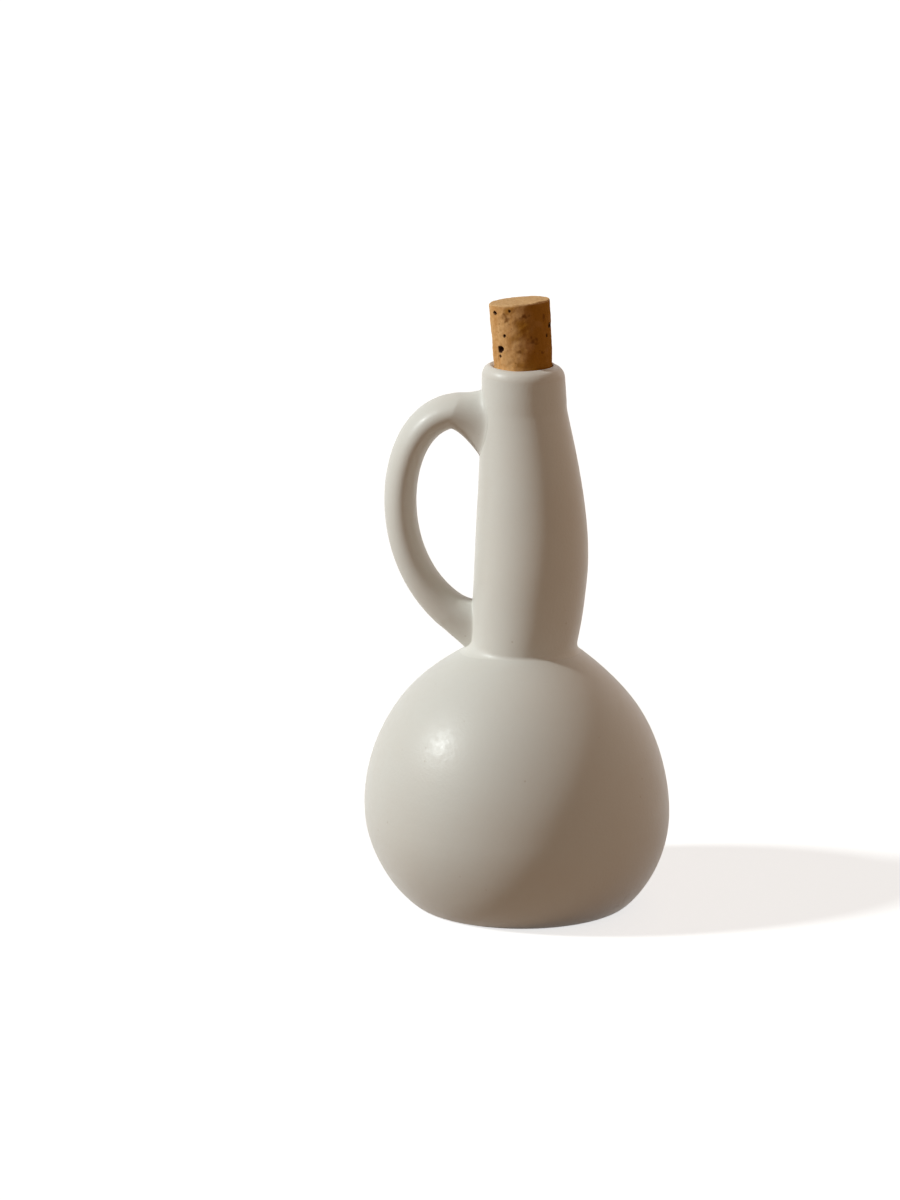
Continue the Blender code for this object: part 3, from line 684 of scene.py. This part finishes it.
def corkRings():
    # Rings from the middle of the foot out, up the side and in over the top; pits press the surface in
    length = cork["seated"] + cork["showing"]
    edge, low, high, pole = cork["edge"], cork["footRadius"], cork["topRadius"], cork["pole"]
    endRings, edgeRings, sideRings = (corkSurface[part] for part in ("endRings", "edgeRings", "sideRings"))
    profile = np.vstack((
        evenly(np.array(((pole, 0), (low - edge, 0))), endRings),
        evenly(corner((low - edge, 0), (low, 0), (low, edge)), edgeRings)[1:],
        evenly(np.array(((low, edge), (high, length - edge))), sideRings)[1:],
        evenly(corner((high, length - edge), (high, length), (high - edge, length)), edgeRings)[1:],
        evenly(np.array(((high - edge, length), (pole, length))), endRings)[1:]))
    radius, rise = profile[:, :1], profile[:, 1:]
    # The squeezed cork swells a little where it comes out of the mouth, and less and less towards its top
    above = rise - cork["seated"]
    swollen = smooth(above, 0, cork["bulgeRise"]) * (1 - above / length)
    radius = radius * (1 + cork["bulge"] / high * swollen)
    angle = around(corkSurface["steps"])
    outward = np.cos(angle)[:, None] * corkAcross + np.sin(angle)[:, None] * np.array((0, 1, 0))
    # The top is cut a little askew: lower on the handle's side and towards the back
    skew = cork["topSkew"][0] * (np.cos(angle) - 1) - cork["topSkew"][1] * np.sin(angle)
    lift = rise - cork["seated"] + radius * skew * smooth(rise, cork["skewStart"], length)
    rings = mouthMiddle + lift[..., None] * corkAxis + radius[..., None] * outward
    ringNumber = np.arange(len(profile))
    sideStart = endRings + edgeRings - 1
    sideEnd = sideStart - 1 + sideRings
    onSide = ((ringNumber >= sideStart) & (ringNumber < sideEnd)).astype(float)[:, None]
    cutFace = smooth(length - rise, edge * 1.5, 0) + smooth(rise, edge * 1.5, 0)
    front = camera["azimuth"] - pi / 2
    wobble = ripple(rings, corkSurface["wobbleSpan"], corkSurface["seed"])
    rng = np.random.default_rng(corkSurface["seed"])
    stray = np.column_stack([rng.uniform(*strayPits[value], strayPits["count"])
                             for value in ("degrees", "below", "across", "along", "deep")])

    def blob(degrees, below, across, along):
        # Distance from a mark's middle, around and along the side, over its half sizes
        turn = (angle - front - radians(degrees) + pi) % (2 * pi) - pi
        return np.hypot(turn * high / (across / 2000), (length - rise - below / 1000) / (along / 2000))

    # Noise wobbles the distance, so that the marks are irregular; the strongest mark holds at each point
    press, darkPitAndShade, stain = np.zeros((3, *rings.shape[:2]))
    for degrees, below, across, along, deep in [*corkPits, *stray]:
        away = blob(degrees, below, across, along) + corkSurface["pitWobble"] * wobble
        press = np.maximum(press, (1 - smooth(away, *corkSurface["pressEdge"])) * onSide * deep / 1000)
        # The pit mask, coloured near black: dark cork and painted shade in the pit
        darkPitAndShade = np.maximum(darkPitAndShade, (1 - smooth(away, *corkSurface["pitEdge"])) * onSide)
    for degrees, below, across, along in corkStains:
        away = blob(degrees, below, across, along) + corkSurface["stainWobble"] * wobble
        faded = 1 - smooth(away, *corkSurface["stainEdge"])
        stain = np.maximum(stain, corkSurface["stainStrength"] * faded * onSide)
    grain = corkSurface["grainDepth"] * ripple(rings, corkSurface["grainSpan"], corkSurface["grainSeed"])
    grain += corkSurface["lumpDepth"] * ripple(rings, corkSurface["lumpSpan"], corkSurface["lumpSeed"])
    rings -= ((press + grain) * onSide)[..., None] * outward
    rings -= (grain * (1 - onSide))[..., None] * corkAxis * np.where(rise > length / 2, 1, -1)[..., None]
    # Painted shade: the side turned away from the key lamp is darker, a cosine of the angle, wobbled and
    # eased
    paintedShadeSide = 0.5 + 0.5 * np.cos(angle - front - corkSurface["paintedShadeTurn"])
    uneven = corkSurface["paintedShadeWobble"] * ripple(rings, corkSurface["paintedShadeSpan"], corkSurface["paintedShadeSeed"])
    paintedShadeSide = smooth(paintedShadeSide + uneven, *corkSurface["paintedShadeEdge"]) * onSide
    return rings, {"darkPitAndShade": darkPitAndShade, "stain": stain, "cutFace": cutFace, "paintedShadeSide": paintedShadeSide}


corkSkin, corkMarks = corkRings()
corkPiece = addPiece("corkSkin", corkSkin, corkMaterial("naturalCork"), corkMarks)
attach(corkPiece, "cork")
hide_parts("cork_stopper")

# Stage: a white floor that keeps the shadow, a low sun from the left and a wide, weak, warm light from the
# right and a little behind
stage = {"half": 6.0, "level": -0.0002, "white": 0.74, "shade": (0.50, 0.50, 0.50, 1),
         "bounce": (0.41, 0.288, 0.203, 1), "ambient": (0.147, 0.110, 0.079, 1)}
lamps = {"key": {"azimuth": -71, "elevation": 33.5, "strength": 2.70, "spread": radians(6),
                 "colour": (0.94, 1.0, 1.0)},
         "fill": {"azimuth": 117, "elevation": 32, "strength": 0.62, "spread": radians(110),
                  "colour": (1.0, 0.71, 0.52)}}


def seenDirectly(make):
    # 1 for the rays that show a background: from the camera, in a reflection or through glass
    seen = make("LightPath").outputs
    first = make("Math", {0: seen["Is Camera Ray"], 1: seen["Is Glossy Ray"]}, operation="MAXIMUM")
    both = make("Math", {0: first.outputs[0], 1: seen["Is Transmission Ray"]}, operation="MAXIMUM")
    return both.outputs[0]


def addFloor():
    # A wide level square; what shows of it is white with a soft shadow, and it throws back a warm dim light
    half, level = stage["half"], stage["level"]
    corners = [(-half, -half, level), (half, -half, level), (half, half, level), (-half, half, level)]
    mesh = bpy.data.meshes.new("floor")
    mesh.from_pydata(corners, [], [(0, 1, 2, 3)])
    floor = bpy.data.objects.new("floor", mesh)
    bpy.context.scene.collection.objects.link(floor)
    material = bpy.data.materials.new("floorPaper")
    material.use_nodes = True
    tree = material.node_tree
    tree.nodes.clear()
    make = nodeMaker(tree)
    glow = make("Emission", {"Color": (1, 1, 1, 1), "Strength": stage["white"]})
    shade = make("BsdfDiffuse", {"Color": stage["shade"]})
    shown = make("AddShader", {0: glow.outputs[0], 1: shade.outputs[0]})
    bounce = make("BsdfDiffuse", {"Color": stage["bounce"]})
    either = make("MixShader", {0: seenDirectly(make), 1: bounce.outputs[0], 2: shown.outputs[0]})
    make("OutputMaterial", {"Surface": either.outputs[0]})
    mesh.materials.append(material)


def addWorld():
    # White where it is seen, warm and dim as the light that fills the shadows
    world = bpy.data.worlds.new("room")
    world.use_nodes = True
    world.node_tree.nodes.clear()
    make = nodeMaker(world.node_tree)
    colour = blend(make, seenDirectly(make), stage["ambient"], (1, 1, 1, 1))
    background = make("Background", {"Color": colour, "Strength": 1.0})
    make("OutputWorld", {"Surface": background.outputs[0]})
    bpy.context.scene.world = world


def addLamp(name, lamp):
    # Even light from one side, softened by the spread of its directions
    back = viewAxes(radians(lamp["azimuth"]), radians(lamp["elevation"]))[2]
    data = bpy.data.lights.new(name, "SUN")
    data.energy = lamp["strength"]
    data.angle = lamp["spread"]
    data.color = lamp["colour"]
    holder = bpy.data.objects.new(name, data)
    holder.location = Vector(camera["aim"]) + back
    holder.rotation_mode = "QUATERNION"
    holder.rotation_quaternion = back.to_track_quat("Z", "Y")
    bpy.context.scene.collection.objects.link(holder)


addFloor()
addWorld()
for lampName, lampValues in lamps.items():
    addLamp(lampName, lampValues)
bpy.context.scene.view_settings.view_transform = "Standard"
print("stage lit")
